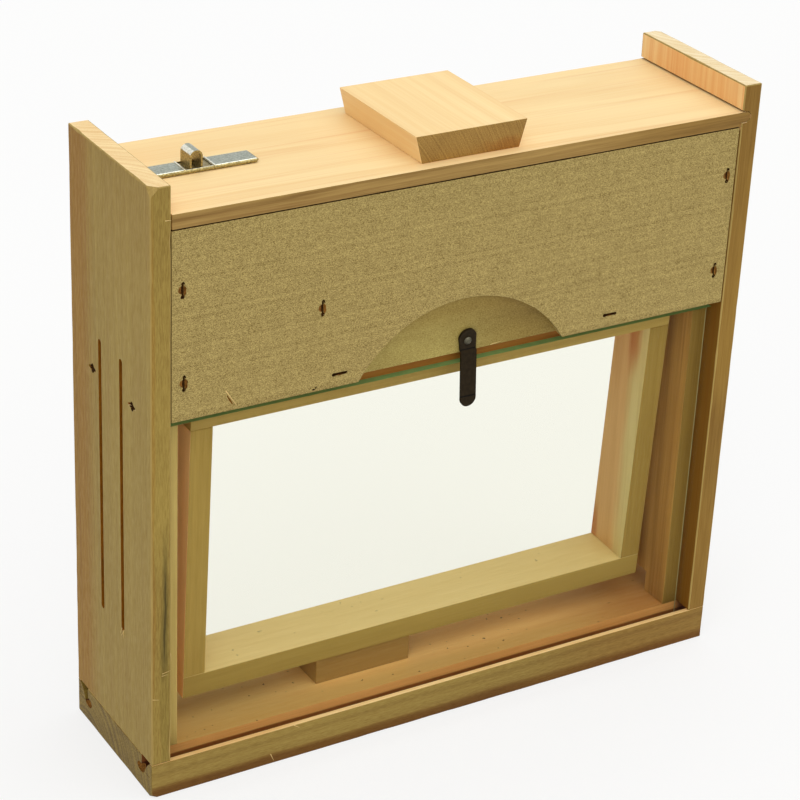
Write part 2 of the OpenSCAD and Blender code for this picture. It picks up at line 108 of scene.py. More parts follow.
def timber(name, pale, dark, along="Z", ring=3.0, pith=(0, 0, 0), lean=(0, 0, 0), rings=0.5, wander=1.2,
           fibre=0.5, fibre_mm=0.9, fibre_len=40, patch=0.3, patch_mm=45, patch_len=0.22, crisp=0.2,
           streak=0.0, streak_hue="#B0703A", specks=0.0, ragged=1.5, tints=(), rough=0.58, gloss=0.3,
           bump=0.1):
    """Planed wood: growth rings about a log axis beside the board, fibres, broad tones and rare streaks.

    ring, pith and ragged are in mm, lean in degrees; rings, fibre and patch say how much each one darkens.
    Real fibres are finer than a pixel, so they are drawn 0.3 to 1 mm wide.
    """
    made, tree, out = blank(name)
    grain = AXES.index(along)

    def stretch(share):
        """The scales of a pattern that is drawn out along the grain."""
        return [share if axis == grain else 1.0 for axis in range(3)]

    def mottle(share, size, low, high, detail=3.0):
        """An uneven tone from 0 to 1, with spots of one size in mm, drawn out along the grain."""
        spread = add(tree, "ShaderNodeMapping", {"Vector": place, "Scale": stretch(share)})
        grit = add(tree, "ShaderNodeTexNoise", {"Vector": spread.outputs[0], "Scale": 1 / (size * MM),
                                                "Detail": detail, "Roughness": 0.6})
        return add(tree, "ShaderNodeMapRange", {0: grit.outputs[0], 1: low, 2: high}).outputs[0]

    place = add(tree, "ShaderNodeTexCoord").outputs["Object"]
    log = add(tree, "ShaderNodeMapping", {"Vector": place, "Location": [-p * MM for p in pith],
                                          "Rotation": [math.radians(a) for a in lean]}).outputs[0]
    log = add(tree, "ShaderNodeMapping", {"Vector": log, "Scale": stretch(0.0)}).outputs[0]
    radius = add(tree, "ShaderNodeVectorMath", {0: log}, operation="LENGTH").outputs["Value"]
    sway = mottle(0.2, 28, 0.0, 1.0, 2.0)
    sway = add(tree, "ShaderNodeMath", {0: sway, 1: wander}, operation="MULTIPLY").outputs[0]
    count = add(tree, "ShaderNodeMath", {0: radius, 1: 1 / (ring * MM), 2: sway},
                operation="MULTIPLY_ADD").outputs[0]
    growth = add(tree, "ShaderNodeTexNoise", {"W": count, "Scale": 1.0, "Detail": 2.0, "Roughness": 0.55},
                 noise_dimensions="1D")
    late = add(tree, "ShaderNodeMapRange", {0: growth.outputs[0], 1: 0.34, 2: 0.68}).outputs[0]
    hair = mottle(fibre_mm / fibre_len, fibre_mm, 0.5 - crisp, 0.5 + crisp)
    cloud = mottle(patch_len, patch_mm, 0.3, 0.7, 2.0)
    total = add(tree, "ShaderNodeMath", {0: late, 1: rings}, operation="MULTIPLY").outputs[0]
    total = add(tree, "ShaderNodeMath", {0: hair, 1: fibre, 2: total}, operation="MULTIPLY_ADD").outputs[0]
    total = add(tree, "ShaderNodeMath", {0: cloud, 1: patch, 2: total}, operation="MULTIPLY_ADD",
                use_clamp=True).outputs[0]
    colour = add(tree, "ShaderNodeMix", {0: total, 6: linear(pale), 7: linear(dark)},
                 data_type="RGBA").outputs[2]
    if streak:
        line = mottle(0.015, 2.2, 0.58, 0.74)
        line = add(tree, "ShaderNodeMath", {0: line, 1: streak}, operation="MULTIPLY").outputs[0]
        colour = add(tree, "ShaderNodeMix", {0: line, 6: colour, 7: linear(streak_hue)},
                     data_type="RGBA").outputs[2]
    if tints:
        spread = add(tree, "ShaderNodeMapping", {"Vector": place, "Scale": stretch(0.12)})
        drift = add(tree, "ShaderNodeTexNoise", {"Vector": spread.outputs[0], "Scale": 1 / (5 * MM),
                                                 "Detail": 3.0})
        drift = add(tree, "ShaderNodeVectorMath", {0: drift.outputs["Color"], 1: (0.5, 0.5, 0.5)},
                    operation="SUBTRACT")
        near = add(tree, "ShaderNodeVectorMath", {0: drift.outputs[0], 1: [2 * ragged * MM] * 3, 2: place},
                   operation="MULTIPLY_ADD").outputs[0]
        colour = tinted(tree, near, colour, tints)
    if specks:
        dot = mottle(1.0, 2.6, 0.74, 0.76, 1.0)
        dot = add(tree, "ShaderNodeMath", {0: dot, 1: specks}, operation="MULTIPLY").outputs[0]
        colour = add(tree, "ShaderNodeMix", {0: dot, 6: colour, 7: linear("#4A2E14")},
                     data_type="RGBA").outputs[2]
    relief = add(tree, "ShaderNodeBump", {"Strength": bump, "Distance": 0.3 * MM, "Height": total},
                 invert=True)
    sheen = add(tree, "ShaderNodeMapRange", {0: hair, 3: rough - 0.08, 4: rough + 0.1})
    wood = add(tree, "ShaderNodeBsdfPrincipled", {"Base Color": colour, "Roughness": sheen.outputs[0],
                                                  "Normal": relief.outputs[0], "IOR": 1.45,
                                                  "Specular IOR Level": gloss})
    tree.links.new(wood.outputs[0], out.inputs[0])
    return made


def sheet_metal(name, code, shade, rough, metallic, speck_mm, speck, gloss=0.5, tints=()):
    """Sheet metal: a base tone with a fine mottled speckle and a slightly uneven polish."""
    made, tree, out = blank(name)
    place = add(tree, "ShaderNodeTexCoord").outputs["Object"]
    grit = add(tree, "ShaderNodeTexNoise", {"Vector": place, "Scale": 1 / (speck_mm * MM), "Detail": 3.0,
                                            "Roughness": 0.6})
    spot = add(tree, "ShaderNodeMapRange", {0: grit.outputs["Fac"], 1: 0.38, 2: 0.66, 3: 0.0, 4: speck})
    colour = add(tree, "ShaderNodeMix", {0: spot.outputs[0], 6: linear(code), 7: linear(shade)},
                 data_type="RGBA").outputs[2]
    colour = tinted(tree, place, colour, tints)
    polish = add(tree, "ShaderNodeMapRange", {0: grit.outputs["Fac"], 1: 0.3, 2: 0.7,
                                              3: rough - 0.06, 4: rough + 0.1})
    relief = add(tree, "ShaderNodeBump", {"Strength": 0.08, "Distance": 0.05 * MM,
                                          "Height": grit.outputs["Fac"]})
    metal = add(tree, "ShaderNodeBsdfPrincipled", {"Base Color": colour, "Roughness": polish.outputs[0],
                                                   "Metallic": metallic, "Normal": relief.outputs[0],
                                                   "Specular IOR Level": gloss})
    tree.links.new(metal.outputs[0], out.inputs[0])
    return made


def float_glass(name, tint, shine):
    """Clear float glass: light goes straight through with a faint cream cast; it shines seen edge on."""
    made, tree, out = blank(name)
    clear = add(tree, "ShaderNodeBsdfTransparent", {0: linear(tint)})
    gloss = add(tree, "ShaderNodeBsdfPrincipled", {"Base Color": linear("#F4F6F0"), "Roughness": 0.04,
                                                   "IOR": 1.5})
    facing = add(tree, "ShaderNodeLayerWeight", {"Blend": 0.5})
    steep = add(tree, "ShaderNodeMath", {0: facing.outputs["Facing"], 1: 5.0}, operation="POWER")
    edge_on = add(tree, "ShaderNodeMath", {0: steep.outputs[0], 1: shine}, operation="MULTIPLY")
    pane = add(tree, "ShaderNodeMixShader", {0: edge_on.outputs[0], 1: clear.outputs[0], 2: gloss.outputs[0]})
    tree.links.new(pane.outputs[0], out.inputs[0])
    return made


def cut_glass_edge(name, code, shade, rough, glow=0.0):
    """The cut edge of a pane: the glass's own green, and a faint painted glow that stands in for the light
    the sheet carries.
    """
    made, tree, out = blank(name)
    place = add(tree, "ShaderNodeTexCoord").outputs["Object"]
    ripple = add(tree, "ShaderNodeTexNoise", {"Vector": place, "Scale": 1 / (6 * MM), "Detail": 2.0})
    tone = add(tree, "ShaderNodeMapRange", {0: ripple.outputs["Fac"], 1: 0.3, 2: 0.7, 3: 0.0, 4: 0.35})
    colour = add(tree, "ShaderNodeMix", {0: tone.outputs[0], 6: linear(code), 7: linear(shade)},
                 data_type="RGBA").outputs[2]
    edge = add(tree, "ShaderNodeBsdfPrincipled", {"Base Color": colour, "Roughness": rough, "IOR": 1.5,
                                                  "Emission Color": linear(code), "Emission Strength": glow})
    tree.links.new(edge.outputs[0], out.inputs[0])
    return made


# Pine side boards, planed, with the grain upright: fine uneven lines, olive in front and redder at the back.
left_face = timber("planed_pine_left_board", "#AC9346", "#896D2F", "Z", ring=2.4, pith=(-190, -60, 0),
                   lean=(1.2, 0.6, 0), rings=0.25, wander=1.6, fibre_mm=0.4, fibre_len=5, patch=0.25,
                   patch_mm=40, crisp=0.15, streak=0.3, streak_hue="#8A5E34",
                   tints=(((("Y", 14, 30, 50, 60),), "#F2C85A", 0.7),
                          ((("Z", 200, 330, 400, 401),), "#F2E4D8", 0.5)))
right_face = timber("planed_pine_right_board", "#AE944A", "#8A6C30", "Z", ring=2.4, pith=(200, 50, 0),
                    lean=(0.8, -0.5, 0), rings=0.4, wander=1.6, fibre=0.4, fibre_mm=0.7, fibre_len=45,
                    patch_mm=40, streak=0.3, streak_hue="#8A5E34")
left_edge = timber("planed_pine_left_edge", "#AE9446", "#82672A", "Z", ring=2.0, pith=(-150, -120, 0),
                   lean=(0.5, 0.4, 0), rings=0.3, fibre_mm=0.4, fibre_len=4, patch=0.25, patch_mm=30,
                   crisp=0.15, streak=0.3, streak_hue="#8A6A34",
                   tints=(((("X", -400, -399, -153.6, -152.6), ("Z", 40, 70, 260, 320)), "#FFCE78", 0.3),
                          ((("X", -150.9, -150.2, -146, -145), ("Z", -10, 0, 96, 130)), "#C0CAA4", 0.3),
                          ((("X", -150.4, -149.2, -147.8, -146.8), ("Z", 58, 72, 118, 150)), "#8C9070", 0.45),
                          ((("X", -149.2, -148.8, -148.3, -147.9), ("Z", 66, 84, 108, 132)), "#5A5C44", 0.6)))
# Arrises with a painted highlight: a paler copy of the boards' edge wood.
arris = timber("pine_arris_painted_highlight", "#BC9E58", "#947A3E", "Z", ring=2.0, pith=(0, -120, 0),
               lean=(0.5, 0.4, 0), rings=0.3, fibre=0.4, fibre_mm=0.6, fibre_len=12, patch=0.4, patch_mm=12)
right_edge = timber("planed_pine_right_edge", "#A47F32", "#7C581B", "Z", ring=2.0, pith=(150, -120, 0),
                    lean=(0.5, 0.4, 0), rings=0.4, fibre=0.4, fibre_mm=0.6, fibre_len=20, patch_mm=30,
                    streak=0.3, streak_hue="#8A6030")
# End grain on top of the side boards, sanded: pale peach with streaks across the board's thickness.
left_end = timber("sanded_pine_end_left", "#FFE6AE", "#E4BA7C", "Z", ring=2.2, pith=(-190, -60, 0),
                  lean=(1.2, 0.6, 0), rings=0.45, wander=1.5, fibre=0.3, fibre_mm=0.7, fibre_len=1.2,
                  patch_mm=16)
right_end = timber("sanded_pine_end_right", "#FFF0CC", "#E6C88E", "Z", ring=2.2, pith=(200, 50, 0),
                   lean=(0.8, -0.5, 0), wander=1.5, fibre=0.3, fibre_mm=0.7, fibre_len=1.2, patch_mm=16)
# The right board's inner face, bright and peach above the lid, darkened below the lid's top by painted shade.
right_inner = timber("planed_pine_inner_face_painted_shade_below_lid", "#FFDB9A", "#EFAE6A", "Z", ring=3.2, pith=(120, 60, 0),
                     lean=(0.8, 0.4, 0), rings=0.4, wander=1.5, fibre=0.3, fibre_mm=0.8, fibre_len=60,
                     patch=0.35, patch_mm=30,
                     tints=(((("Z", -60, -50, 277, 279.5),), "#826F30", 1.0),))
# Base board: a smooth reddish floor with a few crumbs, a yellow front edge, darker low down, and sawn ends.
base_top = timber("planed_pine_floor", "#FAD084", "#E8AE64", "X", ring=5.0, pith=(0, 20, -60),
                  lean=(0, 0.6, 0.4), rings=0.2, wander=1.5, fibre=0.3, fibre_mm=0.8, fibre_len=9,
                  patch=0.35, patch_mm=40, specks=0.8, streak=0.12, streak_hue="#C08850",
                  tints=(((("X", 60, 130, 400, 401),), "#CBB6A8", 0.9),
                         ((("X", -400, -399, -95, -40),), "#DFE3DA", 1.0),
                         ((("X", -95, -40, 60, 130), ("Y", -60, -59, -26, -14)), "#E3E7E3", 1.0)))
block_wood = timber("planed_pine_block", "#A9884C", "#8E6933", "X", ring=4.0, pith=(0, 20, -60),
                    lean=(0, 0.6, 0.4), rings=0.25, wander=1.5, fibre=0.3, fibre_mm=0.8, fibre_len=14,
                    patch=0.35, patch_mm=30)
# The groove's walls are darkened low down by painted shade, and darker at both ends.
base_groove = timber("routed_pine_groove_painted_shade", "#FFCA7C", "#DC984C", "X", ring=4.0, pith=(0, 20, -60),
                     lean=(0, 0.6, 0.4), rings=0.25, wander=1.5, fibre=0.3, fibre_mm=0.8, fibre_len=20,
                     patch=0.35, patch_mm=40, ragged=0.5,
                     tints=(((("Z", -9, -8, 12.9, 14.0),), "#7A5020", 0.85),
                            ((("X", -400, -399, -149, -143),), "#744424", 0.9),
                            ((("X", 143, 149, 400, 401),), "#744424", 0.9)))
base_lip = timber("planed_pine_lip", "#FFE2A4", "#DCA85E", "X", pith=(0, -40, -30), lean=(0, 0.5, 0.3),
                  rings=0.3, wander=1.5, fibre_mm=1.0, fibre_len=14, patch_mm=30)
base_edge = timber("planed_pine_base_edge", "#AC9248", "#7D6026", "X", ring=3.4, pith=(0, -40, -30),
                   lean=(0, 0.5, 0.3), rings=0.25, wander=1.5, fibre_mm=0.5, fibre_len=4, patch_mm=40,
                   streak=0.2, streak_hue="#76502A",
                   tints=(((("Z", -9, -8, 2.6, 7.0),), "#C6A74F", 0.95),
                          ((("X", 40, 110, 400, 401),), "#F6E6D8", 1.0),
                          ((("Z", -9, -8, 5.0, 6.2), ("X", -400, -399, 20, 90)), "#D0AC80", 0.5)))
base_end = timber("sawn_pine_base_end", "#A08638", "#5C4512", "X", ring=2.6, pith=(0, 30, -14), rings=0.4,
                  wander=0.8, fibre_mm=0.6, fibre_len=1.4, patch_mm=16, bump=0.3)
# Linings and feeder boards: reddish heartwood, planed, with a pale front edge of sapwood.
lining = timber("planed_redwood_lining", "#E8B655", "#B07F36", "Z", pith=(0, 60, 0), lean=(0.6, 0.5, 0),
                rings=0.4, wander=1.5, fibre=0.35, fibre_mm=0.8, fibre_len=60, patch=0.4, patch_mm=25,
                streak=0.4, streak_hue="#8A4A2A",
                tints=(((("X", -20, 20, 400, 401),), "#DEDDFF", 1.0),))
lining_edge = timber("planed_sapwood_lining_edge", "#D8BE72", "#B2944A", "Z", pith=(0, 60, 0),
                     lean=(0.6, 0.5, 0), rings=0.25, wander=1.5, fibre=0.25, fibre_mm=0.7, patch_mm=25)
olive_edge = timber("planed_sapwood_right_lining_edge", "#967834", "#705420", "Z", pith=(0, 60, 0),
                    lean=(0.6, 0.5, 0), rings=0.25, wander=1.5, fibre=0.25, fibre_mm=0.7, patch_mm=25)
feeder = timber("planed_redwood_feeder", "#D8A266", "#A06A3C", "X", pith=(0, 60, 150), lean=(0, 0.6, 0.5),
                rings=0.4, wander=1.5, fibre=0.35, fibre_mm=0.8, fibre_len=60, patch=0.4, patch_mm=25,
                streak=0.3, streak_hue="#8A4A2A")
feeder_edge = timber("planed_redwood_feeder_edge", "#B87A2C", "#884E16", "X", pith=(0, 60, 150),
                     lean=(0, 0.6, 0.5), rings=0.4, wander=1.5, fibre=0.35, fibre_mm=0.8, patch=0.4,
                     patch_mm=25)
# Panels: planed limewood, a fine even fleck with faint growth lines along the board and a faint curl.
panel = timber("planed_limewood_panel", "#CCB46E", "#755F2A", "X", ring=1.5, pith=(0, -140, 150),
               lean=(0, 0.8, 0.4), rings=0.13, wander=1.0, fibre=0.8, fibre_mm=0.28, fibre_len=0.5,
               patch=0.09, patch_mm=14, patch_len=2.6, crisp=0.12, bump=0.3)
# The finger scoop is darkened towards its upper right and its top by painted shade under its rim.
scoop = timber("milled_limewood_scoop_painted_shade", "#CAB869", "#917C3A", "X", ring=9.0, pith=(0, -140, 150),
               lean=(0, 0.8, 0.4), rings=0.15, wander=1.6, fibre=0.65, fibre_mm=0.36, fibre_len=0.7,
               patch_mm=18, patch_len=0.6, crisp=0.14, ragged=4,
               tints=(((("X", -10, 40, 100, 101),), "#C8B48C", 0.75),
                      ((("Z", 198, 218, 300, 301),), "#C4B084", 0.7)))
# Comb frame: pale yellow softwood, smooth on top, with a faint pink heart.
frame_top = timber("planed_spruce_frame_top", "#F1DB99", "#D5B974", "X", ring=5.0, pith=(0, 40, 20),
                   lean=(0, 0.5, 0.3), rings=0.15, wander=1.5, fibre=0.25, fibre_mm=0.7, fibre_len=16,
                   patch_mm=40, specks=0.35)
frame_x = timber("planed_spruce_frame_rail", "#BEA255", "#9A7C3C", "X", ring=2.8, pith=(0, 40, 20),
                 lean=(0, 0.5, 0.3), rings=0.2, wander=1.5, fibre=0.25, fibre_mm=0.8, fibre_len=30,
                 patch_mm=40,
                 tints=(((("Z", -9, -8, 60, 90),), "#ECEBE4", 1.0),))
frame_z = timber("planed_spruce_frame_stile", "#BC9E51", "#967934", "Z", ring=2.8, pith=(40, 40, 0),
                 lean=(0.5, 0.4, 0), rings=0.2, wander=1.5, fibre=0.25, fibre_mm=0.8, fibre_len=30,
                 patch_mm=40,
                 tints=(((("X", 60, 100, 400, 401),), "#DAD4C6", 0.6),))
frame_heart = timber("planed_spruce_frame_heart", "#E4D898", "#C8AE6D", "Z", ring=2.8, pith=(40, 40, 0),
                     lean=(0.5, 0.4, 0), rings=0.2, wander=1.5, fibre=0.25, fibre_mm=0.8, fibre_len=30,
                     patch_mm=40, streak=0.2, streak_hue="#B87848", ragged=5,
                     tints=(((("Y", -15, -7, 40, 41),), "#FCDCD2", 1.0),
                            ((("Z", 110, 170, 400, 401),), "#F4E8DC", 0.7),
                            ((("Y", -20, -15, -11, -6), ("Z", 140, 164, 400, 401)), "#E0986C", 0.8),
                            ((("Y", 2, 8, 40, 41), ("Z", 0, 1, 52, 70)), "#D88C60", 0.8)))
# The outer faces at the frame's left side: a paler copy of the frame wood, painted light for the shaded gap
# beside the lining.
frame_outer_painted_light = timber("planed_spruce_frame_outer", "#FFE0A4", "#FFCC90", "Z", ring=2.8, pith=(40, 40, 0),
                     lean=(0.5, 0.4, 0), rings=0.2, wander=1.5, fibre=0.25, fibre_mm=0.8, patch_mm=40)
# Lid and handle: pale planed pine with faint orange lines.
lid_top = timber("planed_pine_lid_top", "#FFE5AC", "#F0C88A", "X", ring=5.0, pith=(0, 60, 150),
                 lean=(0, 1.0, 0.6), rings=0.35, wander=1.6, fibre=0.2, fibre_len=70, patch=0.4,
                 patch_mm=40, streak=0.35, streak_hue="#E8AC72", bump=0.06)
lid_edge = timber("planed_pine_lid_edge", "#C4A05A", "#86642E", "X", ring=2.2, pith=(0, -80, 330),
                  lean=(0, 0.6, 0.4), rings=0.4, wander=1.5, fibre=0.4, fibre_mm=0.6, fibre_len=25,
                  patch_mm=30, streak=0.3, streak_hue="#805428",
                  tints=(((("X", 40, 120, 400, 401),), "#DAD0B4", 1.0),))
handle_top = timber("planed_pine_handle_top", "#FFE2A6", "#F3CC8E", "Y", ring=4.0, pith=(60, 0, 340),
                    lean=(1.0, 0, 0.6), rings=0.35, wander=1.5, fibre=0.25, fibre_len=60, patch_mm=40,
                    streak=0.2, streak_hue="#E8B478", bump=0.06)
handle_side = timber("planed_pine_handle_side", "#FFE2A6", "#F0C486", "Y", ring=4.0, pith=(60, 0, 340),
                     lean=(1.0, 0, 0.6), rings=0.3, wander=1.5, fibre=0.25, fibre_len=50, patch_mm=40,
                     bump=0.06)
handle_end = timber("sawn_pine_handle_end", "#C69D50", "#7D5A26", "Y", ring=0.8, pith=(-80, 0, 250),
                    rings=0.28, wander=0.9, fibre=0.6, fibre_mm=0.4, fibre_len=0.5, patch=0.25, patch_mm=14,
                    crisp=0.15, bump=0.3, ragged=3,
                    tints=(((("X", 0, 20, 60, 61), ("Z", 270, 280, 290, 294)), "#F0BC80", 0.5),))
# Wood torn by staples and saws: raw brown fibres where it is shallow, and nearly black in the depth, where
# the black is painted shade.
torn = timber("torn_pine_fibres", "#A87434", "#5E3C18", "Z", ring=2.0, rings=0.2, wander=1.0, fibre=0.7,
              fibre_mm=0.5, fibre_len=2, patch_mm=5, crisp=0.15, gloss=0.05, bump=0.5)
torn_depth_painted_shade = timber("torn_pine_depth_painted_shade", "#4A2E12", "#241406", "Z", ring=2.0, rings=0.2, wander=1.0, fibre=0.6,
                   fibre_mm=0.5, fibre_len=3, patch_mm=5, gloss=0.05, bump=0.4)
sawn = timber("saw_cut_pine", "#B06E1E", "#6E400C", "Z", ring=2.0, rings=0.2, wander=1.0, fibre=0.6,
              fibre_mm=0.5, fibre_len=3, patch_mm=5, gloss=0.05, bump=0.4)
# Slivers of raw wood that stand up from an edge, paler than the boards.
raw_sliver = timber("raw_pine_sliver", "#F4DA98", "#D0A85C", "X", ring=2.0, rings=0.2, wander=1.0,
                    fibre=0.4, fibre_mm=0.5, fibre_len=3, patch_mm=5)
# Pressed sheet steel with bright zinc, mottled by handling, and golden low on its folded sides.
zinc = sheet_metal("zinc_plated_steel", "#A6AB9E", "#70766A", rough=0.34, metallic=1.0, speck_mm=0.9,
                   speck=0.7,
                   tints=(((("Z", 250, 251, 288.5, 288.9),), "#E0BC78", 0.8),))
# The same plating in a golden tone on upright faces, and a pale copy of it as painted highlights on its bends
# and cut edges.
golden_zinc = sheet_metal("zinc_plating_golden_tone", "#BCAA70", "#6A5C34", rough=0.36, metallic=0.8,
                          speck_mm=0.9, speck=0.9)
zinc_painted_highlight = sheet_metal("zinc_plating_painted_highlight", "#F4F4E6", "#A8A894", rough=0.24, metallic=0.7,
                          speck_mm=0.9, speck=0.7)
# Sheet steel, bronzed nearly black, with a dull wax gloss and a line of painted shade at each of its two
# creases.
bronzed = sheet_metal("bronzed_sheet_steel", "#2C2212", "#20180C", rough=0.6, metallic=0.0, speck_mm=1.6,
                      speck=0.7, gloss=0.08,
                      tints=(((("Z", 192.2, 192.5, 192.8, 193.1),), "#404040", 0.9),
                             ((("Z", 168.2, 168.5, 168.9, 169.2),), "#404040", 0.9)))
# Drawn wire, rusted dark, and screw heads dulled by age.
dull_steel = sheet_metal("dull_steel_wire", "#625E4E", "#3E3A2E", rough=0.42, metallic=0.9, speck_mm=0.5,
                         speck=0.6)
rusty_wire = sheet_metal("rusted_steel_wire", "#40260C", "#1C1004", rough=0.85, metallic=0.0, speck_mm=0.8,
                         speck=0.8, gloss=0.05)
# Float glass: clear to look through, green along its cut top with a faint painted glow, and painted
# highlights along the arrises at its ends.
pane_glass = float_glass("clear_float_glass", "#FEFEFB", shine=0.5)
pane_edge = cut_glass_edge("green_cut_glass_edge_painted_glow", "#66864C", "#2C4A2A", rough=0.22, glow=0.2)
glass_end_painted_highlight = cut_glass_edge("glass_arris_painted_highlight", "#A89E6C", "#827A4C", rough=0.7)


# How near to a plane of its box a corner counts as on it, in m.
ON_PLANE = 2e-5
# Steps along an edge that is to look worn, and the lengths of its rubs and knocks, in mm.
WEAR_STEP = 5
RUB_LENGTH = 17
KNOCK_LENGTH = 3.7
# How far a pit's wall strays, and over what length, in mm.
RAGGED_BY = 0.3
RAGGED_OVER = 0.9


def node_mesh(node):
    """A copy of a CAD node's mesh, merged and with its flat faces made whole."""
    mesh = bmesh.new()
    mesh.from_mesh(frame["nodes"][node].data)
    bmesh.ops.remove_doubles(mesh, verts=mesh.verts, dist=1e-6)
    bmesh.ops.dissolve_limit(mesh, angle_limit=math.radians(0.5), verts=mesh.verts, edges=mesh.edges)
    return mesh


def box_ends(mesh):
    """The lowest and highest corner of a mesh."""
    return [[end(v.co[i] for v in mesh.verts) for i in range(3)] for end in (min, max)]


def box_edges(mesh):
    """The edges of a mesh that lie on the edges of its own box."""
    ends = box_ends(mesh)

    def planes(vert):
        return {(i, s) for i in range(3) for s in (0, 1) if abs(vert.co[i] - ends[s][i]) < ON_PLANE}

    return [e for e in mesh.edges if len(planes(e.verts[0]) & planes(e.verts[1])) == 2]


def long_edges(mesh):
    """The sharp outer edges of a leaning bar or block."""
    return [e for e in mesh.edges if e.calc_length() > 6 * MM and e.is_convex and e.calc_face_angle(0) > 0.5]


def break_edges(mesh, choose, width, wear=0.0):
    """Rounds the sharp edges; wear makes the round wander, as on a board that has been handled."""
    if wear:
        for edge in choose(mesh):
            cuts = int(edge.calc_length() / (WEAR_STEP * MM))
            if cuts:
                bmesh.ops.subdivide_edges(mesh, edges=[edge], cuts=cuts)
    low, high = box_ends(mesh)
    made = bmesh.ops.bevel(mesh, geom=choose(mesh), offset=width * MM, offset_type="OFFSET", segments=2,
                           profile=0.5, affect="EDGES", clamp_overlap=False, material=-1)
    if not wear:
        return
    for vert in made["verts"]:
        ends = [(abs(vert.co[i] - end[i]), i, way) for i in range(3) for way, end in ((1, low), (-1, high))]
        near = [end for end in ends if end[0] < 1.2 * width * MM]
        if len(near) == 2:
            rub = max(0.0, noise.noise(vert.co / (RUB_LENGTH * MM)))
            knock = max(0.0, noise.noise(vert.co / (KNOCK_LENGTH * MM) + UP) - 0.3)
            for gap, i, way in near:
                vert.co[i] += way * wear * (rub + 2 * knock) * gap / width


def dull_corner(mesh, corner, size):
    """Rounds one corner of a board, as a knock does."""
    low, high = box_ends(mesh)
    inward = Vector([1 if c < (a + b) / 2 else -1 for c, a, b in zip(corner, low, high)])
    middle = Vector(corner) + size * MM * inward
    for turn in ((1, 1, 1), (2, 1, 1), (1, 2, 1), (1, 1, 2)):
        out = -Vector([t * way for t, way in zip(turn, inward)]).normalized()
        cut = bmesh.ops.bisect_plane(mesh, geom=mesh.verts[:] + mesh.edges[:] + mesh.faces[:],
                                     plane_co=middle + size * MM * out, plane_no=out, clear_outer=True)
        rim = [part for part in cut["geom_cut"] if isinstance(part, bmesh.types.BMEdge)]
        bmesh.ops.holes_fill(mesh, edges=rim, sides=0)


def side_of(normal):
    """The name of the side that a face looks to; a scoop's floor is slant."""
    if 0.97 < abs(normal.y) < 0.995:
        return "slant"
    axis = max(range(3), key=lambda i: abs(normal[i]))
    return (("left", "right"), ("front", "back"), ("under", "top"))[axis][normal[axis] > 0]


def carve(piece, pits, finish):
    """Cuts ragged pits that show torn wood; each is a middle and half sizes in mm and a turn about Y."""
    lumps = bmesh.new()
    for count, (middle, half, turn) in enumerate(pits):
        place = (Matrix.Translation(Vector(middle) * MM) @ Matrix.Rotation(math.radians(turn), 4, "Y")
                 @ Matrix.Diagonal([size * MM for size in half] + [1]))
        lump = bmesh.ops.create_icosphere(lumps, subdivisions=2, radius=1.0, matrix=place)
        for vert in lump["verts"]:
            stray = noise.noise_vector(vert.co / (RAGGED_OVER * MM) + 7.3 * count * UP)
            vert.co += RAGGED_BY * MM * stray
    data = bpy.data.meshes.new("pits")
    lumps.to_mesh(data)
    lumps.free()
    data.materials.append(finish)
    tool = bpy.data.objects.new("pits", data)
    bpy.context.scene.collection.objects.link(tool)
    cut = piece.modifiers.new("pits", "BOOLEAN")
    cut.operation = "DIFFERENCE"
    cut.solver = "EXACT"
    cut.use_self = True
    cut.material_mode = "TRANSFER"
    cut.object = tool
    graph = bpy.context.evaluated_depsgraph_get()
    made = bpy.data.meshes.new_from_object(piece.evaluated_get(graph), preserve_all_data_layers=True,
                                           depsgraph=graph)
    piece.modifiers.clear()
    piece.data = made
    bpy.data.objects.remove(tool)


def show(name, mesh, body, slot, finish_of, pits=(), smooth=15):
    """Makes a mesh a visible piece that rides on a body, with a finish for each face."""
    data = bpy.data.meshes.new(name)
    mesh.normal_update()
    worn_by = [finish_of(face) for face in mesh.faces]
    finishes = list(dict.fromkeys(worn_by))
    for finish in finishes:
        data.materials.append(finish)
    for face, finish in zip(mesh.faces, worn_by):
        face.material_index = finishes.index(finish)
        face.smooth = True
    mesh.to_mesh(data)
    mesh.free()
    piece = bpy.data.objects.new(name, data)
    bpy.context.scene.collection.objects.link(piece)
    for finish in (torn, torn_depth_painted_shade):
        rows = [pit[:3] for pit in pits if pit[3] is finish]
        if rows:
            carve(piece, rows, finish)
    cut = bmesh.new()
    cut.from_mesh(piece.data)
    for edge in cut.edges:
        edge.smooth = edge.calc_face_angle(math.pi) < math.radians(smooth)
    cut.to_mesh(piece.data)
    cut.free()
    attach(piece, body)
    return piece


def board(node, width=0.0, wear=0.0, choose=box_edges, dulled=(), pits=(), pick=None, smooth=15, **sides):
    """The visible piece of a CAD node: its solid with broken edges, pits and a finish on each side.

    width and wear of the edges are in mm, dulled lists knocked corners, and pick finds special faces.
    """
    mesh = node_mesh(node)
    if width:
        break_edges(mesh, choose, width, wear)
    for corner, size in dulled:
        dull_corner(mesh, Vector(corner) * MM, size)

    def finish_of(face):
        special = pick(face) if pick else None
        return special or sides.get(side_of(face.normal), sides["rest"])

    piece = show("dressed_" + node, mesh, BODY_OF[node], SLOT_OF[node], finish_of, pits, smooth)
    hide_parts(node)


def base_finish(face):
    """The floor's own finish inside the grooves and on the lips in front of them."""
    place = face.calc_center_median() / MM
    if face.normal.z > 0.9 and abs(place.y) > 38:
        return base_lip
    if place.z > 9 and 29 < abs(place.y) < 39 and abs(face.normal.x) < 0.5:
        return base_groove


def side_finish(face):
    """The saw-cut walls of the vents, and the arrises of a side board, which carry a painted highlight."""
    place = face.calc_center_median() / MM
    if abs(face.normal.x) < 0.3 and abs(place.y) < 20 and 60 < place.z < 230:
        return sawn
    if max(abs(part) for part in face.normal) < 0.95 and abs(place.x) > 140 and place.z > 20:
        return arris


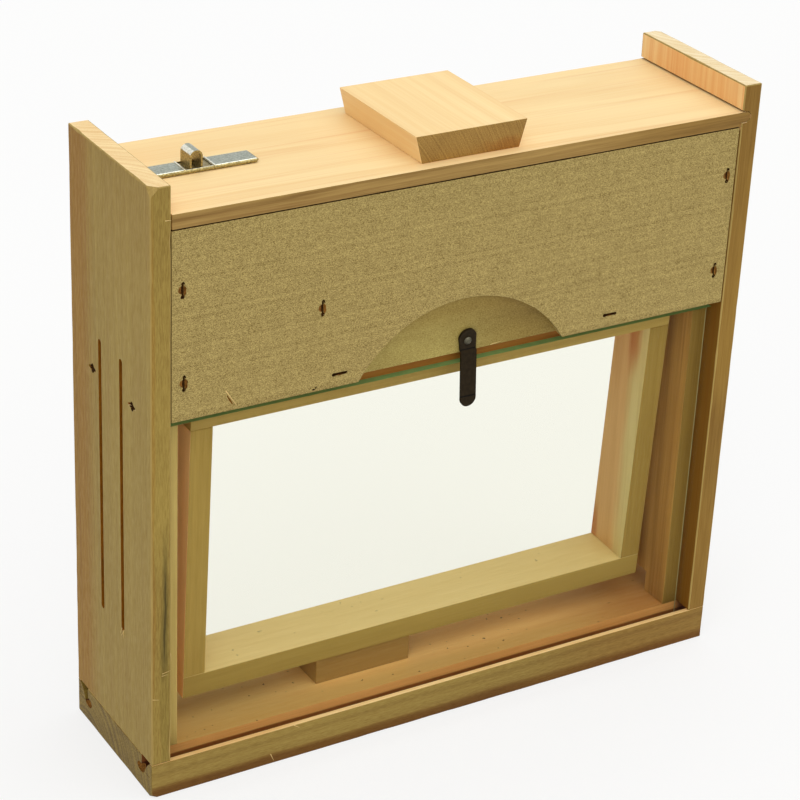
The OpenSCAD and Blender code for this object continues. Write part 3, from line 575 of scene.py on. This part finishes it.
def notch_finish(face):
    """The saw-cut walls of the entrance notch."""
    place = face.calc_center_median() / MM
    if place.z < 28 and abs(place.y) < 12.5 and abs(face.normal.x) < 0.3:
        return sawn


def pane_finish(face):
    """Painted highlights: a pale line along the inner arrises at a pane's ends."""
    if 0.3 < abs(face.normal.x) < 0.95 and face.normal.y * face.calc_center_median().y < 0:
        return glass_end_painted_highlight


def latch_finish(face):
    """Painted highlights on the latch's cut edges and bends, golden plating on its upright faces."""
    place = face.calc_center_median() / MM
    normal = face.normal
    if place.z > 289.3:
        if normal.z > 0.3 and normal.x < -0.35:
            return zinc_painted_highlight
        if normal.z < 0.3:
            return golden_zinc
    elif abs(normal.y) > 0.2:
        return zinc_painted_highlight if normal.z > 0.8 else golden_zinc
    elif place.z > 288.6 and abs(normal.x) > 0.9:
        return zinc_painted_highlight


# Torn wood round the staples: a shallow ragged patch, with a deep hole at each end where a leg went in.
# The middles of upright and level staples are given as x and z in mm.
UPRIGHT = ((-139.9, 252.1), (-139.2, 208.7), (138.9, 208.7), (140.6, 256.5))
LEVEL = ((-63.6, 197.3), (79.9, 197.3))
PARTITION_X = -73
PARTITION_Z = 230.8
PANEL_FACE = 40.5


def panel_pits(partition):
    """Torn wood over the staples of a front panel, one of which goes into the partition at this x."""
    rows = []
    for x, z in UPRIGHT + ((partition, PARTITION_Z),):
        rows.append(((x - 0.3, -PANEL_FACE, z + 0.1), (2.0, 0.75, 2.0), 12, torn))
        rows.append(((x + 0.5, -PANEL_FACE, z - 0.3), (1.1, 1.0, 2.6), -6, torn))
        rows.append(((x + 0.1, -PANEL_FACE, z + 3.0), (0.9, 1.5, 0.85), 0, torn_depth_painted_shade))
        rows.append(((x - 0.1, -PANEL_FACE, z - 3.0), (0.95, 1.5, 0.95), 0, torn_depth_painted_shade))
    for x, z in LEVEL:
        rows.append(((x, -PANEL_FACE, z - 0.1), (3.0, 0.7, 0.65), 0, torn))
        rows.append(((x - 3.0, -PANEL_FACE, z), (0.95, 1.4, 0.85), 0, torn_depth_painted_shade))
        rows.append(((x + 3.0, -PANEL_FACE, z), (0.9, 1.4, 0.8), 0, torn_depth_painted_shade))
    return rows


# A gouge low on the left of the front panel, and a nick on its lower edge.
front_pits = panel_pits(PARTITION_X)
front_pits.append(((-117.4, -PANEL_FACE, 196.2), (0.5, 0.3, 3.0), -32, torn))
front_pits.append(((-76.6, -PANEL_FACE, 192.2), (0.8, 0.6, 0.35), 0, torn_depth_painted_shade))
front_pits.append(((-75.3, -PANEL_FACE, 192.9), (0.45, 0.6, 0.6), 0, torn_depth_painted_shade))
# The rear panel is turned half round, and its odd staple goes into the same partition.
rear_pits = [((-x, -y, z), half, -turn, finish)
             for (x, y, z), half, turn, finish in panel_pits(-PARTITION_X)]


def side_pits(x):
    """Stubby crosses torn over the two staples in a side board's face."""
    rows = []
    for y in (-22, 19):
        rows.append(((x, y + 0.2, 193.0), (0.8, 1.7, 1.7), 0, torn))
        rows.append(((x, y, 192.9), (1.5, 3.5, 1.2), 0, torn_depth_painted_shade))
        rows.append(((x, y - 0.3, 192.9), (1.4, 1.6, 2.4), 0, torn_depth_painted_shade))
    return rows


# Wood broken out behind the groove at its open ends.
groove_chips = [((x, y, 10.6), (2.4, 3.8, 2.5), 0, torn) for x in (-155, 155) for y in (-29.2, 29.2)]

board("base_board", width=0.5, wear=0.5, dulled=(((-155, -41, 0), 2.0), ((155, 41, 0), 2.2)),
      pits=groove_chips, pick=base_finish, rest=base_edge, top=base_top, left=base_end, right=base_end)
board("left_side_board", width=0.5, wear=0.5, dulled=(((-155, -41, 300), 2.8),), pits=side_pits(-155),
      pick=side_finish, rest=left_face, top=left_end, front=left_edge, back=right_edge, right=right_inner)
board("right_side_board", width=0.5, wear=0.5, dulled=(((155, 41, 300), 2.0),), pits=side_pits(155),
      pick=side_finish, rest=right_face, top=right_end, front=right_edge, back=right_edge, left=right_inner)
board("left_lining", width=0.3, pick=side_finish, rest=lining, front=lining_edge, back=lining_edge)
board("right_lining", width=0.3, pick=notch_finish, rest=lining, front=olive_edge, back=olive_edge)
# The panels' sawn top faces take the nearly black finish of the pits, as painted shade in the gap beneath the
# lid.
board("front_panel", width=0.2, wear=0.2, pits=front_pits, smooth=8, rest=panel, slant=scoop, top=torn_depth_painted_shade)
board("rear_panel", width=0.2, wear=0.2, pits=rear_pits, smooth=8, rest=panel, slant=scoop, top=torn_depth_painted_shade)
board("feeder_floor", width=0.4, rest=feeder, front=feeder_edge, back=feeder_edge)
board("feeder_partition", width=0.4, rest=feeder)
board("frame_rest_block", width=0.5, rest=block_wood)
board("frame_top_bar", width=0.35, choose=long_edges, rest=frame_x, top=frame_top)
board("frame_bottom_bar", width=0.35, choose=long_edges, rest=frame_x, top=frame_top, left=frame_outer_painted_light)
board("frame_left_bar", width=0.35, choose=long_edges, rest=frame_z, left=frame_outer_painted_light, right=frame_heart)
board("frame_right_bar", width=0.35, choose=long_edges, rest=frame_z, left=frame_heart, right=frame_heart)
board("lid_board", width=0.4, wear=0.35, rest=lid_edge, top=lid_top, under=lid_top)
board("lid_handle", width=0.4, choose=long_edges, rest=handle_side, top=handle_top, front=handle_end,
      back=handle_end)
for node in ("front_glass", "rear_glass"):
    board(node, width=0.25, pick=pane_finish, rest=pane_glass, top=pane_edge)
for node in ("front_turn_button", "rear_turn_button"):
    board(node, rest=bronzed)
for node in ("latch_sleeve", "latch_bolt", "handle_screws"):
    board(node, pick=latch_finish, smooth=40, rest=zinc)
for node in ("front_panel_staples", "rear_panel_staples", "side_staples", "base_staples"):
    board(node, rest=rusty_wire)
for node in ("frame_nails", "front_button_screw", "rear_button_screw"):
    board(node, rest=dull_steel)

# The groove's open ends are not cut clean: a sloping lump of wood is left behind each lip.
# Its outline is given as y and z, and its end and depth along the groove follow, in mm.
LUMP = ((38.9, 17.8), (37.0, 16.4), (35.2, 14.2), (33.6, 12.0), (33.0, 9.7), (38.9, 9.7))
LUMP_END = 154.9
LUMP_DEPTH = 7
lumps = bmesh.new()
for end in (-1, 1):
    for way in (-1, 1):
        rim = [lumps.verts.new((end * LUMP_END * MM, way * y * MM, z * MM)) for y, z in LUMP]
        face = bmesh.ops.contextual_create(lumps, geom=rim)["faces"]
        depth = bmesh.ops.extrude_face_region(lumps, geom=face)["geom"]
        inner = [part for part in depth if isinstance(part, bmesh.types.BMVert)]
        bmesh.ops.translate(lumps, verts=inner, vec=(-end * LUMP_DEPTH * MM, 0, 0))
bmesh.ops.recalc_face_normals(lumps, faces=lumps.faces)
show("groove_end_lumps", lumps, "case", "board_wood", lambda face: base_end)

# The sheet is pressed up a little along both ends of the sleeve's window; the raised bead carries a painted
# highlight.
bead = bmesh.new()
BEAD_SIZE = Vector((0.7, 10.4, 0.5)) * MM
for x in (-121.45, -107.4):
    bmesh.ops.create_cube(bead, matrix=Matrix.LocRotScale(Vector((x, 1.05, 289.3)) * MM, None, BEAD_SIZE))
bmesh.ops.bevel(bead, geom=bead.edges[:], offset=0.15 * MM, offset_type="OFFSET", segments=2, profile=0.5,
                affect="EDGES", clamp_overlap=False, material=-1)
show("sleeve_bead", bead, "lid", "zinc_sheet", lambda face: zinc_painted_highlight)

# Slivers that stand off the boards, the panel's gouge and its scoop: start, end and half width in mm.
SLIVERS = (((-149.7, -41.0, 66.3), (-145.9, -41.5, 67.4), 0.16),
           ((-150.0, -41.0, 65.2), (-147.2, -41.4, 65.5), 0.12),
           ((-154.5, -41.0, 53.9), (-151.5, -41.4, 53.2), 0.16),
           ((-148.2, -41.0, 284.9), (-145.4, -41.3, 284.9), 0.2),
           ((-119.5, -40.4, 201.0), (-114.4, -41.0, 193.2), 0.28),
           ((-155.0, -12.3, 74.6), (-155.5, -10.2, 70.8), 0.2),
           ((-155.0, -11.6, 74.0), (-155.4, -11.9, 70.2), 0.2),
           ((-155.0, -10.0, 74.4), (-155.6, -9.2, 71.6), 0.16),
           ((-145.6, -40.9, 76.0), (-145.3, -41.2, 72.0), 0.14),
           ((-82.0, -40.9, 18.0), (-79.2, -41.3, 16.1), 0.2),
           ((-94.1, -41.0, 5.6), (-92.6, -41.4, 1.8), 0.22),
           ((19.1, -33.7, 191.4), (24.8, -34.1, 192.2), 0.2))
slivers = bmesh.new()
for start, end, half in SLIVERS:
    run = (Vector(end) - Vector(start)) * MM
    middle = Vector(start) * MM + run / 2
    place = Matrix.Translation(middle) @ run.to_track_quat("Z", "Y").to_matrix().to_4x4()
    bmesh.ops.create_cone(slivers, cap_ends=True, segments=5, radius1=half * MM, radius2=0.25 * half * MM,
                          depth=run.length, matrix=place)
show("raw_slivers", slivers, "case", "board_wood", lambda face: raw_sliver, smooth=60)

# The camera, fitted to the straight edges of the object.
LENS = 113.38
EYE = Vector((-557.29, -897.9, 688.41)) * MM
AZIMUTH, ELEVATION, ROLL = (math.radians(a) for a in (-31.492, 26.945, 2.687))
level = Vector((math.sin(AZIMUTH), -math.cos(AZIMUTH), 0))
back = math.cos(ELEVATION) * level + math.sin(ELEVATION) * UP
across = (-back).cross(UP).normalized()
above = across.cross(-back)
view_x = math.cos(ROLL) * across + math.sin(ROLL) * above
view_y = -math.sin(ROLL) * across + math.cos(ROLL) * above
lens = bpy.data.cameras.new("camera")
lens.lens = LENS
lens.sensor_width = 36
lens.sensor_fit = "HORIZONTAL"
camera = bpy.data.objects.new("camera", lens)
camera.matrix_world = Matrix.Translation(EYE) @ Matrix((view_x, view_y, back)).transposed().to_4x4()
bpy.context.scene.collection.objects.link(camera)
bpy.context.scene.camera = camera

# A wide soft light from above and an even room, at a level where a colour renders about as it is written.
TOP_LIGHT = 2.0
FRONT_LIGHT = 0.5
ROOM_LIGHT = 0.32
for name, strength, spread, towards in (("soft_top_light", TOP_LIGHT, 100, (0.12, -0.18, 1)),
                                        ("soft_front_light", FRONT_LIGHT, 40, (-0.62, -0.62, 0.48))):
    sun = bpy.data.lights.new(name, "SUN")
    sun.energy = strength
    sun.angle = math.radians(spread)
    lamp = bpy.data.objects.new(name, sun)
    lamp.rotation_euler = Vector(towards).to_track_quat("Z", "Y").to_euler()
    bpy.context.scene.collection.objects.link(lamp)


def to_the_eye(tree):
    """A factor that is 1 for what the camera sees directly, in a reflection or through glass."""
    ray = add(tree, "ShaderNodeLightPath").outputs
    seen = add(tree, "ShaderNodeMath", {0: ray["Is Camera Ray"], 1: ray["Is Glossy Ray"]},
               operation="MAXIMUM")
    seen = add(tree, "ShaderNodeMath", {0: seen.outputs[0], 1: ray["Is Transmission Ray"]},
               operation="MAXIMUM")
    return seen.outputs[0]


world = bpy.data.worlds.new("white_room")
bpy.context.scene.world = world
world.use_nodes = True
sky = world.node_tree
sky.nodes.clear()
room = add(sky, "ShaderNodeBackground", {0: linear("#FFFFFF"), 1: ROOM_LIGHT})
white = add(sky, "ShaderNodeBackground", {0: linear("#FFFFFF"), 1: 1.0})
both = add(sky, "ShaderNodeMixShader", {0: to_the_eye(sky), 1: room.outputs[0], 2: white.outputs[0]})
add(sky, "ShaderNodeOutputWorld", {0: both.outputs[0]})

# A plain white floor that keeps a light shadow.
FLOOR_GLOW = 0.72
FLOOR_HALF = 8.0
paint, tree, out = blank("white_studio_floor")
share = add(tree, "ShaderNodeMath", {0: to_the_eye(tree), 1: FLOOR_GLOW}, operation="MULTIPLY")
matt = add(tree, "ShaderNodeBsdfDiffuse", {0: linear("#F4F4F2")})
glow = add(tree, "ShaderNodeEmission", {0: linear("#FFFFFF"), 1: 1.0})
mixed = add(tree, "ShaderNodeMixShader", {0: share.outputs[0], 1: matt.outputs[0], 2: glow.outputs[0]})
tree.links.new(mixed.outputs[0], out.inputs[0])
flat = bmesh.new()
bmesh.ops.create_grid(flat, x_segments=1, y_segments=1, size=FLOOR_HALF)
ground = bpy.data.meshes.new("floor")
flat.to_mesh(ground)
flat.free()
ground.materials.append(paint)
floor = bpy.data.objects.new("floor", ground)
bpy.context.scene.collection.objects.link(floor)

bpy.context.scene.view_settings.view_transform = "Standard"
